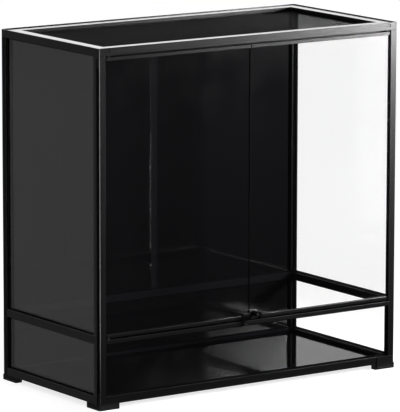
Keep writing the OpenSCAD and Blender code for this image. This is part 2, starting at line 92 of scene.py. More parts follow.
def add(tree, kind, settings=None, values=None, links=None):
    """Adds a node, sets its properties and input values, and links its inputs."""
    node = tree.nodes.new(kind)
    for key, value in (settings or {}).items():
        setattr(node, key, value)
    for key, value in (values or {}).items():
        node.inputs[key].default_value = value
    for key, socket in (links or {}).items():
        tree.links.new(socket, node.inputs[key])
    return node


def ramp(tree, source, stops):
    """A colour ramp over the source; stops are (place, rgba)."""
    node = add(tree, "ShaderNodeValToRGB", links={"Fac": source})
    elements = node.color_ramp.elements
    elements[0].position, elements[0].color = stops[0]
    elements[1].position, elements[1].color = stops[-1]
    for place, colour in stops[1:-1]:
        elements.new(place).color = colour
    return node.outputs["Color"]


def coordinates(tree, scale=(1, 1, 1)):
    """Object coordinates, stretched or packed along the axes."""
    place = add(tree, "ShaderNodeTexCoord")
    mapping = add(tree, "ShaderNodeMapping", values={"Scale": scale},
                  links={"Vector": place.outputs["Object"]})
    return mapping.outputs["Vector"]


def grey(level):
    return (level, level, level, 1.0)


def shade(colour, factor):
    """A colour made lighter or darker."""
    return tuple(c * factor for c in colour[:3]) + (1.0,)


def dress(names, material):
    """Puts one finish on CAD nodes."""
    for name in names:
        mesh = NODES[name].data
        if not mesh.materials:
            mesh.materials.append(material)
        for i in range(len(mesh.materials)):
            mesh.materials[i] = material


# ---- finishes --------------------------------------------------------------


def anodised_aluminium(name, colour, along, roughness, sheen):
    """Drawn aluminium profile, bead blasted and given a black dye in the anodising bath.

    The dye leaves a satin skin with faint draw lines along the profile and a slow
    drift of sheen from bath to bath, so long rails never look like one flat tone.
    The axis along which the profile was drawn is along: 0, 1 or 2.
    """
    material, tree, surface = new_material(name)
    # Draw lines about 0.8 mm apart across the profile, hundreds of millimetres long
    stretch = [1250, 1250, 1250]
    stretch[along] = 4
    lines = add(tree, "ShaderNodeTexNoise", values={"Scale": 1.0, "Detail": 3.0, "Roughness": 0.6},
                links={"Vector": coordinates(tree, stretch)})
    # Blasted grain of 0.25 mm
    grain = add(tree, "ShaderNodeTexNoise", values={"Scale": 4000.0, "Detail": 2.0},
                links={"Vector": coordinates(tree)})
    cloud = add(tree, "ShaderNodeTexNoise", values={"Scale": 5.0, "Detail": 2.0},
                links={"Vector": coordinates(tree)})
    tone = ramp(tree, cloud.outputs["Fac"], [(0.3, shade(colour, 0.88)), (0.7, shade(colour, 1.12))])
    rub = add(tree, "ShaderNodeMapRange",
              values={"From Min": 0.25, "From Max": 0.75, "To Min": roughness - 0.05,
                      "To Max": roughness + 0.06},
              links={"Value": lines.outputs["Fac"]})
    height = add(tree, "ShaderNodeMath", {"operation": "MULTIPLY_ADD"}, {1: 0.5},
                 {0: lines.outputs["Fac"], 2: grain.outputs["Fac"]})
    bump = add(tree, "ShaderNodeBump", values={"Strength": 0.12, "Distance": 0.00008},
               links={"Height": height.outputs[0]})
    # Painted shade: within a few millimetres of gaps, snap windows and slots the colour is darkened towards
    # black and the sheen is taken away
    crevice_occlusion = add(tree, "ShaderNodeAmbientOcclusion", {"samples": 8}, {"Distance": 0.006})
    bare = add(tree, "ShaderNodeMapRange", values={"From Min": 0.45, "From Max": 0.9},
               links={"Value": crevice_occlusion.outputs["AO"]})
    # At a graze the sheen keeps clear of the painted shade, whatever stands close by
    slope = add(tree, "ShaderNodeLayerWeight", values={"Blend": 0.5})
    at_graze = add(tree, "ShaderNodeMapRange", values={"From Min": 0.6, "From Max": 0.78},
                  links={"Value": slope.outputs["Facing"]})
    lit = add(tree, "ShaderNodeMath", {"operation": "MAXIMUM"},
              links={0: bare.outputs["Result"], 1: at_graze.outputs["Result"]})
    level = add(tree, "ShaderNodeMath", {"operation": "MULTIPLY"}, {1: sheen}, {0: lit.outputs[0]})
    # The dye's colour with painted shade on it: near black where gaps and slots stand close
    dye_and_painted_shade = add(tree, "ShaderNodeMix", {"data_type": "RGBA"}, {"A": grey(0.0012)},
               {"Factor": bare.outputs["Result"], "B": tone})
    # The sealed oxide lies over the dye like a thin clear coat
    skin = add(tree, "ShaderNodeBsdfPrincipled",
               values={"IOR": 1.5, "Coat IOR": 1.4, "Coat Roughness": 0.2},
               links={"Base Color": dye_and_painted_shade.outputs["Result"], "Roughness": rub.outputs["Result"],
                      "Specular IOR Level": level.outputs[0], "Coat Weight": level.outputs[0],
                      "Normal": bump.outputs["Normal"]})
    # Along a rail the blasted skin flattens out and turns into a hazy mirror
    haze = add(tree, "ShaderNodeBsdfGlossy", values={"Roughness": 0.13, "Color": grey(1.0)})
    graze = add(tree, "ShaderNodeMath", {"operation": "POWER"}, {1: 8.0}, {0: slope.outputs["Facing"]})
    share = add(tree, "ShaderNodeMath", {"operation": "MULTIPLY", "use_clamp": True}, {1: 2.1},
                {0: graze.outputs[0]})
    mixed = add(tree, "ShaderNodeMixShader",
                links={"Fac": share.outputs[0], 1: skin.outputs["BSDF"], 2: haze.outputs["BSDF"]})
    tree.links.new(mixed.outputs["Shader"], surface)
    return material


def moulded_nylon(colour, roughness=0.45):
    """Glass-filled nylon from a spark-eroded mould: matt, with a fine even pebble grain."""
    material, tree, surface = new_material("moulded_nylon_spark_grain")
    # Pebbles about 0.5 mm across
    pebble = add(tree, "ShaderNodeTexVoronoi", {"feature": "SMOOTH_F1"}, {"Scale": 2000.0},
                 {"Vector": coordinates(tree)})
    flow = add(tree, "ShaderNodeTexNoise", values={"Scale": 30.0, "Detail": 3.0},
               links={"Vector": coordinates(tree)})
    tone = ramp(tree, flow.outputs["Fac"], [(0.3, shade(colour, 0.85)), (0.7, shade(colour, 1.15))])
    rub = add(tree, "ShaderNodeMapRange",
              values={"From Min": 0.3, "From Max": 0.7, "To Min": roughness - 0.05,
                      "To Max": roughness + 0.08},
              links={"Value": flow.outputs["Fac"]})
    bump = add(tree, "ShaderNodeBump", values={"Strength": 0.3, "Distance": 0.00006},
               links={"Height": pebble.outputs["Distance"]})
    skin = add(tree, "ShaderNodeBsdfPrincipled", values={"IOR": 1.5, "Specular IOR Level": 0.08},
               links={"Base Color": tone, "Roughness": rub.outputs["Result"],
                      "Normal": bump.outputs["Normal"]})
    tree.links.new(skin.outputs["BSDF"], surface)
    return material


def float_glass(name, colour, head_on):
    """Clear float glass: light goes straight through, and each face mirrors a little.

    Head on the face gives back a few hundredths of the light and at a graze nearly all
    of it. The slow draw of the float bath bends the mirrored picture very slightly.
    """
    material, tree, surface = new_material(name)
    draw = add(tree, "ShaderNodeTexNoise", values={"Scale": 6.0, "Detail": 1.0},
               links={"Vector": coordinates(tree)})
    bump = add(tree, "ShaderNodeBump", values={"Strength": 0.15, "Distance": 0.00004},
               links={"Height": draw.outputs["Fac"]})
    tint = ramp(tree, draw.outputs["Fac"], [(0.3, shade(colour, 0.997)), (0.7, colour)])
    mirror = add(tree, "ShaderNodeBsdfPrincipled", values={"Metallic": 1.0, "Roughness": 0.0},
                 links={"Base Color": tint, "Normal": bump.outputs["Normal"]})
    clear = add(tree, "ShaderNodeBsdfTransparent", links={"Color": tint})
    slope = add(tree, "ShaderNodeLayerWeight", values={"Blend": 0.5})
    graze = add(tree, "ShaderNodeMath", {"operation": "POWER"}, {1: 5.0}, {0: slope.outputs["Facing"]})
    share = add(tree, "ShaderNodeMapRange", values={"To Min": head_on, "To Max": 1.0},
                links={"Value": graze.outputs[0]})
    mixed = add(tree, "ShaderNodeMixShader",
                links={"Fac": share.outputs["Result"], 1: clear.outputs["BSDF"], 2: mirror.outputs["BSDF"]})
    tree.links.new(mixed.outputs["Shader"], surface)
    return material


def glossy_board(name, colour, roughness, level, ripples=0.06):
    """Closed-cell PVC board with a pressed gloss skin: a soft black mirror.

    The press leaves a long shallow ripple, so what it mirrors wavers a little.
    """
    material, tree, surface = new_material(name)
    ripple = add(tree, "ShaderNodeTexNoise", values={"Scale": 14.0, "Detail": 2.0},
                 links={"Vector": coordinates(tree)})
    dust = add(tree, "ShaderNodeTexNoise", values={"Scale": 900.0, "Detail": 2.0},
               links={"Vector": coordinates(tree)})
    tone = ramp(tree, dust.outputs["Fac"], [(0.35, shade(colour, 0.9)), (0.75, shade(colour, 1.2))])
    rub = add(tree, "ShaderNodeMapRange",
              values={"From Min": 0.3, "From Max": 0.7, "To Min": roughness - 0.015,
                      "To Max": roughness + 0.02},
              links={"Value": ripple.outputs["Fac"]})
    bump = add(tree, "ShaderNodeBump", values={"Strength": ripples, "Distance": 0.0003},
               links={"Height": ripple.outputs["Fac"]})
    skin = add(tree, "ShaderNodeBsdfPrincipled", values={"IOR": 1.5, "Specular IOR Level": level},
               links={"Base Color": tone, "Roughness": rub.outputs["Result"],
                      "Normal": bump.outputs["Normal"]})
    tree.links.new(skin.outputs["BSDF"], surface)
    return material


def extruded_rubber(colour):
    """Extruded EPDM: matt black with a chalky bloom and faint lines from the die."""
    material, tree, surface = new_material("epdm_rubber_extruded")
    bloom = add(tree, "ShaderNodeTexNoise", values={"Scale": 120.0, "Detail": 4.0},
                links={"Vector": coordinates(tree)})
    tone = ramp(tree, bloom.outputs["Fac"], [(0.35, colour), (0.8, shade(colour, 1.8))])
    bump = add(tree, "ShaderNodeBump", values={"Strength": 0.2, "Distance": 0.0001},
               links={"Height": bloom.outputs["Fac"]})
    skin = add(tree, "ShaderNodeBsdfPrincipled",
               values={"Roughness": 0.7, "IOR": 1.5, "Specular IOR Level": 0.02},
               links={"Base Color": tone, "Normal": bump.outputs["Normal"]})
    tree.links.new(skin.outputs["BSDF"], surface)
    return material


def satin_steel(colour):
    """Turned and tumbled stainless steel: grey metal with a soft, slightly streaked sheen."""
    material, tree, surface = new_material("stainless_steel_tumbled")
    streak = add(tree, "ShaderNodeTexNoise", values={"Scale": 1.0, "Detail": 4.0},
                 links={"Vector": coordinates(tree, (300, 2500, 2500))})
    tone = ramp(tree, streak.outputs["Fac"], [(0.3, shade(colour, 0.8)), (0.7, colour)])
    rub = add(tree, "ShaderNodeMapRange",
              values={"From Min": 0.3, "From Max": 0.7, "To Min": 0.26, "To Max": 0.42},
              links={"Value": streak.outputs["Fac"]})
    skin = add(tree, "ShaderNodeBsdfPrincipled", values={"Metallic": 1.0},
               links={"Base Color": tone, "Roughness": rub.outputs["Result"]})
    tree.links.new(skin.outputs["BSDF"], surface)
    return material


def chrome_plate(colour):
    """Bright chromium on polished zinc: a clear mirror with a breath of handling haze."""
    material, tree, surface = new_material("chromium_plated_zinc")
    haze = add(tree, "ShaderNodeTexNoise", values={"Scale": 260.0, "Detail": 3.0},
               links={"Vector": coordinates(tree)})
    tone = ramp(tree, haze.outputs["Fac"], [(0.3, shade(colour, 0.94)), (0.7, colour)])
    rub = add(tree, "ShaderNodeMapRange",
              values={"From Min": 0.4, "From Max": 0.8, "To Min": 0.12, "To Max": 0.2},
              links={"Value": haze.outputs["Fac"]})
    skin = add(tree, "ShaderNodeBsdfPrincipled", values={"Metallic": 1.0},
               links={"Base Color": tone, "Roughness": rub.outputs["Result"]})
    tree.links.new(skin.outputs["BSDF"], surface)
    return material


def coated_wire(colour):
    """Aluminium wire, woven and then powder coated: dark grey, with coating pooled in the knots."""
    material, tree, surface = new_material("powder_coated_woven_wire")
    pool = add(tree, "ShaderNodeTexNoise", values={"Scale": 350.0, "Detail": 3.0},
               links={"Vector": coordinates(tree)})
    tone = ramp(tree, pool.outputs["Fac"], [(0.35, shade(colour, 0.7)), (0.7, shade(colour, 1.2))])
    rub = add(tree, "ShaderNodeMapRange",
              values={"From Min": 0.3, "From Max": 0.7, "To Min": 0.45, "To Max": 0.65},
              links={"Value": pool.outputs["Fac"]})
    skin = add(tree, "ShaderNodeBsdfPrincipled", values={"IOR": 1.5, "Specular IOR Level": 0.08},
               links={"Base Color": tone, "Roughness": rub.outputs["Result"]})
    tree.links.new(skin.outputs["BSDF"], surface)
    return material


# ---- modelling helpers -----------------------------------------------------


def start_primitive(kind, **settings):
    """Adds a primitive with nothing else selected and returns its object."""
    bpy.ops.object.select_all(action="DESELECT")
    getattr(bpy.ops.mesh, "primitive_%s_add" % kind)(**settings)
    return bpy.context.active_object


def settle(piece, name):
    """Puts a piece's place into its mesh, so that its object sits unturned at the origin."""
    piece.name = piece.data.name = name
    bpy.ops.object.select_all(action="DESELECT")
    piece.select_set(True)
    bpy.context.view_layer.objects.active = piece
    bpy.ops.object.transform_apply(location=True, rotation=True, scale=True)
    return piece


def copy_shifted(piece, shift):
    """A copy with its own mesh, moved."""
    twin = piece.copy()
    twin.data = piece.data.copy()
    twin.data.transform(Matrix.Translation(shift))
    bpy.context.scene.collection.objects.link(twin)
    return twin


def join(pieces, name):
    """Joins pieces into one object."""
    bpy.ops.object.select_all(action="DESELECT")
    for piece in pieces:
        piece.select_set(True)
    bpy.context.view_layer.objects.active = pieces[0]
    bpy.ops.object.join()
    joined = bpy.context.active_object
    joined.name = joined.data.name = name
    return joined


def pick_faces(piece, test):
    """Selects in edit mode the faces whose centre and normal pass the test."""
    bpy.ops.object.mode_set(mode="EDIT")
    bpy.ops.mesh.select_mode(type="FACE")
    mesh = bmesh.from_edit_mesh(piece.data)
    for face in mesh.faces:
        face.select_set(test(face.calc_center_median(), face.normal))
    bmesh.update_edit_mesh(piece.data)


def wire_rods(count, first, last, start, end, height, thickness, across):
    """Straight six-sided wires side by side, from first to last, each from start to end.

    They run along X, or along Y if across is set.
    """
    rod = start_primitive("cylinder", vertices=6, radius=thickness / 2, depth=end - start,
                          location=(0, 0, 0), rotation=(0, math.pi / 2, 0))
    middle = (start + end) / 2
    rod.location = (middle, first, height)
    settle(rod, "wire")
    rods = [rod]
    for i in range(1, count):
        rods.append(copy_shifted(rod, (0, (last - first) * i / (count - 1), 0)))
    layer = join(rods, "wires")
    if across:
        layer.data.transform(Matrix(((0, 1, 0, 0), (1, 0, 0, 0), (0, 0, 1, 0), (0, 0, 0, 1))))
        layer.data.flip_normals()
    return layer


# ---- settings --------------------------------------------------------------


class TerrariumFinishSettings(PropertyGroup):
    frame_colour: FloatVectorProperty(
        name="Frame", description="Dye of the anodised profiles", subtype="COLOR", size=4,
        min=0, max=1, default=linear("#0b0b0c"))
    moulding_colour: FloatVectorProperty(
        name="Mouldings", description="Nylon of the feet, pull and bushes", subtype="COLOR", size=4,
        min=0, max=1, default=linear("#080809"))
    board_colour: FloatVectorProperty(
        name="Boards", description="Skin of the back and floor boards", subtype="COLOR", size=4,
        min=0, max=1, default=linear("#060607"))
    glass_colour: FloatVectorProperty(
        name="Glass", description="Tint of the float glass", subtype="COLOR", size=4,
        min=0, max=1, default=linear("#ffffff"))
    rubber_colour: FloatVectorProperty(
        name="Rubber", description="Seals", subtype="COLOR", size=4,
        min=0, max=1, default=linear("#030303"))
    steel_colour: FloatVectorProperty(
        name="Steel", description="Nut, plug and cam", subtype="COLOR", size=4,
        min=0, max=1, default=linear("#77787b"))
    chrome_colour: FloatVectorProperty(
        name="Chrome", description="Barrel and key", subtype="COLOR", size=4,
        min=0, max=1, default=linear("#3c3d40"))
    wire_colour: FloatVectorProperty(
        name="Wire", description="Coating of the woven screen", subtype="COLOR", size=4,
        min=0, max=1, default=linear("#0c0c0d"))
    frame_roughness: FloatProperty(
        name="Frame roughness", description="Satin of the anodised skin", default=0.3,
        min=0.1, max=0.8, subtype="FACTOR")


class TerrariumScreenSettings(PropertyGroup):
    wire_spacing: FloatProperty(
        name="Wire spacing", description="Distance between neighbouring wires", default=0.003,
        min=0.002, max=0.008, unit="LENGTH")
    wire_thickness: FloatProperty(
        name="Wire thickness", description="Diameter of one wire", default=0.0004,
        min=0.0003, max=0.0009, unit="LENGTH")


class TerrariumPostSettings(PropertyGroup):
    pane_line: FloatProperty(
        name="Pane line", description="From the outer face of a post to the inner face of the side pane",
        default=0.0118, min=0.011, max=0.014, unit="LENGTH")
    web: FloatProperty(
        name="Web", description="Thickness of a post in front of the side pane", default=0.0105,
        min=0.009, max=0.0136, unit="LENGTH")
    channel_width: FloatProperty(
        name="Channel width", description="Shadow channel in the side of a front post", default=0.0105,
        min=0.004, max=0.012, unit="LENGTH")
    channel_depth: FloatProperty(
        name="Channel depth", description="Depth of the shadow channel", default=0.003,
        min=0.001, max=0.004, unit="LENGTH")
    bead_width: FloatProperty(
        name="Bead width", description="How far the glazing beads reach over the side panes",
        default=0.0085, min=0.004, max=0.012, unit="LENGTH")
    pad_thickness: FloatProperty(
        name="Pad thickness", description="Rubber pads at the ends of the door stops",
        default=0.0021, min=0.001, max=0.0022, unit="LENGTH")


class TerrariumPlateSettings(PropertyGroup):
    plate_width: FloatProperty(
        name="Plate width", description="Width of the bare plate on the foot", default=0.052,
        min=0.03, max=0.056, unit="LENGTH")
    plate_height: FloatProperty(
        name="Plate height", description="Height of the bare plate on the foot", default=0.031,
        min=0.02, max=0.034, unit="LENGTH")
    plate_thickness: FloatProperty(
        name="Plate thickness", description="How far the plate stands proud", default=0.0025,
        min=0.001, max=0.004, unit="LENGTH")


class TerrariumStudioSettings(PropertyGroup):
    key_power: FloatProperty(
        name="Key light", description="Soft box in front on the left", default=12.0,
        min=0, max=400, unit="POWER")
    side_power: FloatProperty(
        name="Side light", description="Small soft box in front on the right", default=21.0,
        min=0, max=400, unit="POWER")
    back_power: FloatProperty(
        name="Back light", description="Soft box behind the cabinet", default=3.0,
        min=0, max=400, unit="POWER")
    room_level: FloatProperty(
        name="Room", description="Even light from all round", default=0.5, min=0, max=1.5)


# ---- operators -------------------------------------------------------------


class TERRARIUM_OT_finish_frame(Operator):
    """Satin black anodising on posts, rails, top corners, stops, door pivots and screen borders"""
    bl_idname = "terrarium.finish_frame"
    bl_label = "Frame Finish"

    def execute(self, context):
        look = context.scene.terrarium_finish
        colour, rough = tuple(look.frame_colour), look.frame_roughness
        sideways = anodised_aluminium("anodised_aluminium_drawn_in_x", colour, 0, rough, SHEEN)
        inwards = anodised_aluminium("anodised_aluminium_drawn_in_y", colour, 1, rough, SHEEN)
        upright = anodised_aluminium("anodised_aluminium_drawn_in_z", colour, 2, rough, SHEEN)
        # Painted shade: the back posts get a copy of the frame finish with hardly any sheen, so that they
        # look darker behind the glass
        shaded_upright = anodised_aluminium("anodised_aluminium_shaded_in_z", colour, 2, rough, SHADED_SHEEN)
        for name in NODES:
            if name.startswith("post_back"):
                dress([name], shaded_upright)
            elif name.startswith("post_"):
                dress([name], upright)
            elif name.startswith(("bottom_rail", "mid_rail", "top_rail", "screen_border")):
                dress([name], inwards if name.endswith(("left", "right")) else sideways)
            elif (name.startswith(("top_corner", "door_stop"))
                  or name.endswith(("top_rail", "bottom_rail", "_pivots"))):
                dress([name], sideways)
        return {"FINISHED"}


class TERRARIUM_OT_finish_mouldings(Operator):
    """Black moulded nylon on the feet, the pull and the pivot bushes"""
    bl_idname = "terrarium.finish_mouldings"
    bl_label = "Mouldings Finish"

    def execute(self, context):
        nylon = moulded_nylon(tuple(context.scene.terrarium_finish.moulding_colour))
        feet = [name for name in NODES if name.startswith("foot_")]
        dress(feet + ["lock_pull", "pivot_bushes"], nylon)
        return {"FINISHED"}


class TERRARIUM_OT_finish_glass(Operator):
    """Clear glass in the sides, the front and the doors, with rubber seals"""
    bl_idname = "terrarium.finish_glass"
    bl_label = "Glass and Seals"

    def execute(self, context):
        look = context.scene.terrarium_finish
        panes = [name for name in NODES if "glass" in name and name != "glass_seals"]
        # The left panes get a copy of the same glass that mirrors more strongly: painted reflection
        left = float_glass("float_glass_left", tuple(look.glass_colour), LEFT_MIRROR)
        right = float_glass("float_glass_right", tuple(look.glass_colour), PLAIN_MIRROR)
        fronts = float_glass("float_glass_front", tuple(look.glass_colour), PLAIN_MIRROR)
        for name in panes:
            low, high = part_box(name)
            if high.x - low.x > high.y - low.y:
                dress([name], fronts)
            else:
                dress([name], left if low.x < 0 else right)
        dress(["glass_seals", "door_left_edge_seal"], extruded_rubber(tuple(look.rubber_colour)))
        return {"FINISHED"}


class TERRARIUM_OT_finish_boards(Operator):
    """Glossy black boards at the back and on the floor, with the back rails and the joint strip"""
    bl_idname = "terrarium.finish_boards"
    bl_label = "Boards Finish"

    def execute(self, context):
        colour = tuple(context.scene.terrarium_finish.board_colour)
        backs = [name for name in NODES if name.startswith("back_")]
        dress(backs, glossy_board("pvc_board_back", colour, 0.07, 0.4))
        # Painted shade: the back rails get the board finish, a little lighter and mirroring nothing, so
        # that they stay dark between the boards
        cover = glossy_board("pvc_cover_strip", shade(colour, 2.2), 0.1, 0.0)
        dress(["mid_rail_back", "bottom_rail_back"], cover)
        dress(["back_joint_strip"], glossy_board("pvc_joint_strip", shade(colour, 2.0), 0.07, 0.4))
        # The smoothest board: it mirrors the glow of the window on the right
        dress(["floor_board"], glossy_board("pvc_board_floor", colour, 0.035, 0.13, 0.02))
        return {"FINISHED"}


class TERRARIUM_OT_finish_metal(Operator):
    """Steel nut, plug and cam, chromed barrel and key"""
    bl_idname = "terrarium.finish_metal"
    bl_label = "Lock Finish"

    def execute(self, context):
        look = context.scene.terrarium_finish
        dress(["lock_nut", "lock_plug", "lock_cam"], satin_steel(tuple(look.steel_colour)))
        dress(["lock_barrel", "lock_key"], chrome_plate(tuple(look.chrome_colour)))
        return {"FINISHED"}


class TERRARIUM_OT_open_posts(Operator):
    """Rebates in the posts in place of slots, so that the side panes show up to the post's web"""
    bl_idname = "terrarium.open_posts"
    bl_label = "Open Posts"

    # Corners closer than this are one corner
    weld_distance = 0.00001
    # How far the rebate's cutter reaches past the faces that it opens
    overrun = 0.002
    # The rebate stops 12 mm short of both ends of the post
    uncut_ends = 0.024
    # The channel runs out at the foot and stops 6 mm under the top
    channel_drop = 0.004
    # From the front face to the channel
    channel_start = 0.0015

    def execute(self, context):
        size = context.scene.terrarium_posts
        for name in ("post_front_right", "post_front_left"):
            low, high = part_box(name)
            side = 1 if low.x > 0 else -1
            outer, inner = (high.x, low.x) if side > 0 else (low.x, high.x)
            post = NODES[name].copy()
            post.data = NODES[name].data.copy()
            post.name = post.data.name = name + "_rebated"
            bpy.context.scene.collection.objects.link(post)
            bpy.ops.object.select_all(action="DESELECT")
            post.select_set(True)
            bpy.context.view_layer.objects.active = post
            bpy.ops.object.mode_set(mode="EDIT")
            bpy.ops.mesh.select_all(action="SELECT")
            bpy.ops.mesh.remove_doubles(threshold=self.weld_distance)
            bpy.ops.object.mode_set(mode="OBJECT")
            edge = outer - side * size.pane_line
            width = abs(edge - inner) + self.overrun
            depth = high.y - low.y - size.web + self.overrun
            middle = (low.z + high.z) / 2
            tool = self.cutter((width, depth, high.z - low.z - self.uncut_ends),
                               (edge - side * width / 2, low.y + size.web + depth / 2, middle))
            # A shadow channel runs beside the outer corner
            channel = self.cutter(
                (2 * size.channel_depth, size.channel_width, high.z - low.z - self.channel_drop),
                (outer, low.y + self.channel_start + size.channel_width / 2, middle - self.channel_drop))
            tool = join([tool, channel], "rebate_tool")
            cut = post.modifiers.new("rebate", "BOOLEAN")
            cut.object, cut.operation, cut.solver = tool, "DIFFERENCE", "EXACT"
            bpy.ops.object.select_all(action="DESELECT")
            post.select_set(True)
            bpy.context.view_layer.objects.active = post
            bpy.ops.object.modifier_apply(modifier=cut.name)
            bpy.data.objects.remove(tool)
            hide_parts(name)
            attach(post, "cabinet")
        return {"FINISHED"}

    @staticmethod
    def cutter(size, place):
        """A block with its place put into its mesh."""
        tool = start_primitive("cube", size=1, location=(0, 0, 0))
        tool.scale, tool.location = size, place
        return settle(tool, "cutter")


class TERRARIUM_OT_glazing_beads(Operator):
    """Upright beads that close the side panes against the front posts"""
    bl_idname = "terrarium.glazing_beads"
    bl_label = "Glazing Beads"

    # How far short of the ends of the pane and of the post a bead stops
    end_gap = 0.001
    # The bottom rail holds the lowest 5 mm of the lower pane, so its bead starts above that
    foot_gap = 0.006
    # How far a bead stays behind the outer face of the post
    set_back = 0.0004
    edge_rounding = 0.0015

    def execute(self, context):
        width = context.scene.terrarium_posts.bead_width
        beads = []
        for level in ("upper", "lower"):
            low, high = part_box("glass_right_" + level)
            post_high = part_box("post_front_right")[1]
            top = min(high.z, post_high.z) - self.end_gap
            foot = low.z + (self.end_gap if level == "upper" else self.foot_gap)
            thickness = post_high.x - high.x - self.set_back
            bead = start_primitive("cube", size=1, location=(0, 0, 0))
            bead.scale = (thickness, width, top - foot)
            bead.location = (high.x + thickness / 2, post_high.y + width / 2, (top + foot) / 2)
            settle(bead, "bead")
            # The free edge rounds back towards the glass
            bpy.ops.object.mode_set(mode="EDIT")
            bpy.ops.mesh.select_mode(type="EDGE")
            mesh = bmesh.from_edit_mesh(bead.data)
            for edge in mesh.edges:
                ends = [corner.co for corner in edge.verts]
                edge.select_set(all(co.x > high.x + thickness / 2 and co.y > post_high.y + width / 2
                                    for co in ends))
            bmesh.update_edit_mesh(bead.data)
            bpy.ops.mesh.bevel(offset=self.edge_rounding, segments=3, affect="EDGES")
            bpy.ops.object.mode_set(mode="OBJECT")
            bpy.ops.object.shade_smooth_by_angle(angle=SMOOTH_ANGLE)
            beads.append(bead)
        right = join(beads, "bead")
        left = copy_shifted(right, (0, 0, 0))
        left.data.transform(Matrix.Diagonal((-1, 1, 1, 1)))
        left.data.flip_normals()
        whole = join([right, left], "glazing_beads")
        whole.data.materials.append(NODES["post_front_left"].data.materials[0])
        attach(whole, "cabinet")
        return {"FINISHED"}


class TERRARIUM_OT_stop_pads(Operator):
    """Rubber pads that carry the door stops on to the posts and keep light out of the corners"""
    bl_idname = "terrarium.stop_pads"
    bl_label = "Stop Pads"

    pad_height = 0.008
    lip_inset = 0.0005
    lip_height = 0.0012
    edge_rounding = 0.0004

    def execute(self, context):
        size = context.scene.terrarium_posts
        post_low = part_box("post_front_right")[0]
        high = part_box("door_stop_top")[1]
        length, depth, height = post_low.x - high.x, size.pad_thickness, self.pad_height
        pad = start_primitive("cube", size=1, location=(0, 0, 0))
        pad.scale = (length, depth, height)
        pad.location = (high.x + length / 2, high.y - depth / 2, high.z - height / 2)
        settle(pad, "stop_pad")
        # The lower long edge is folded out into a soft lip
        pick_faces(pad, lambda centre, normal: normal.z < -0.9)
        bpy.ops.mesh.inset(thickness=self.lip_inset, depth=0.0)
        bpy.ops.mesh.extrude_region_move(TRANSFORM_OT_translate={"value": (0, 0, -self.lip_height)})
        bpy.ops.object.mode_set(mode="OBJECT")
        round_off = pad.modifiers.new("round_off", "BEVEL")
        round_off.width, round_off.segments, round_off.limit_method = self.edge_rounding, 2, "ANGLE"
        bpy.ops.object.modifier_apply(modifier=round_off.name)
        bpy.ops.object.shade_smooth_by_angle(angle=SMOOTH_ANGLE)
        pads = [pad, copy_shifted(pad, (-high.x - post_low.x, 0, 0))]
        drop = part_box("door_stop_bottom")[1].z - high.z
        pads += [copy_shifted(each, (0, 0, drop)) for each in list(pads)]
        whole = join(pads, "stop_pads")
        whole.data.materials.append(NODES["door_left_edge_seal"].data.materials[0])
        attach(whole, "cabinet")
        return {"FINISHED"}


class TERRARIUM_OT_weave_screen(Operator):
    """Wires of the screen top, held in the groove of its border"""
    bl_idname = "terrarium.weave_screen"
    bl_label = "Woven Screen"

    def execute(self, context):
        size = context.scene.terrarium_screen
        low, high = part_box("screen_mesh")
        reach = Vector((high.x - size.wire_thickness, high.y - size.wire_thickness, 0))
        middle = (low.z + high.z) / 2
        # The two layers press into each other by a tenth of a wire
        lift = size.wire_thickness * 0.45
        across_count = int(round(2 * reach.y / size.wire_spacing))
        along_count = int(round(2 * reach.x / size.wire_spacing))
        long_wires = wire_rods(across_count, -reach.y, reach.y, low.x, high.x, middle + lift,
                               size.wire_thickness, False)
        short_wires = wire_rods(along_count, -reach.x, reach.x, low.y, high.y, middle - lift,
                                size.wire_thickness, True)
        screen = join([long_wires, short_wires], "screen_wires")
        screen.data.materials.clear()
        screen.data.materials.append(coated_wire(tuple(context.scene.terrarium_finish.wire_colour)))
        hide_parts("screen_mesh")
        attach(screen, "screen_top")
        return {"FINISHED"}


class TERRARIUM_OT_foot_plate(Operator):
    """Bare moulded plate on the front right foot, dished, with a rounded rim"""
    bl_idname = "terrarium.foot_plate"
    bl_label = "Foot Plate"

    # From the foot's left end and from the ground to the plate
    margin = 0.003
    rim_width = 0.002
    dish_slope = 0.0006
    dish_depth = 0.0005
    rim_rounding = 0.0006

    def execute(self, context):
        size = context.scene.terrarium_plate
        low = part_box("foot_front_right")[0]
        middle = Vector((low.x + self.margin + size.plate_width / 2, low.y - size.plate_thickness / 2,
                         self.margin + size.plate_height / 2))
        plate = start_primitive("cube", size=1, location=middle)
        plate.scale = (size.plate_width, size.plate_thickness, size.plate_height)
        settle(plate, "foot_plate")
        pick_faces(plate, lambda centre, normal: normal.y < -0.9)
        bpy.ops.mesh.inset(thickness=self.rim_width, depth=0)
        bpy.ops.mesh.inset(thickness=self.dish_slope, depth=-self.dish_depth)
        bpy.ops.object.mode_set(mode="OBJECT")
        bevel = plate.modifiers.new("rim", "BEVEL")
        bevel.width, bevel.segments, bevel.limit_method = self.rim_rounding, 3, "ANGLE"
        bpy.ops.object.modifier_apply(modifier=bevel.name)
        bpy.ops.object.shade_smooth_by_angle(angle=SMOOTH_ANGLE)
        plate.data.materials.append(NODES["foot_front_right"].data.materials[0])
        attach(plate, "cabinet")
        return {"FINISHED"}


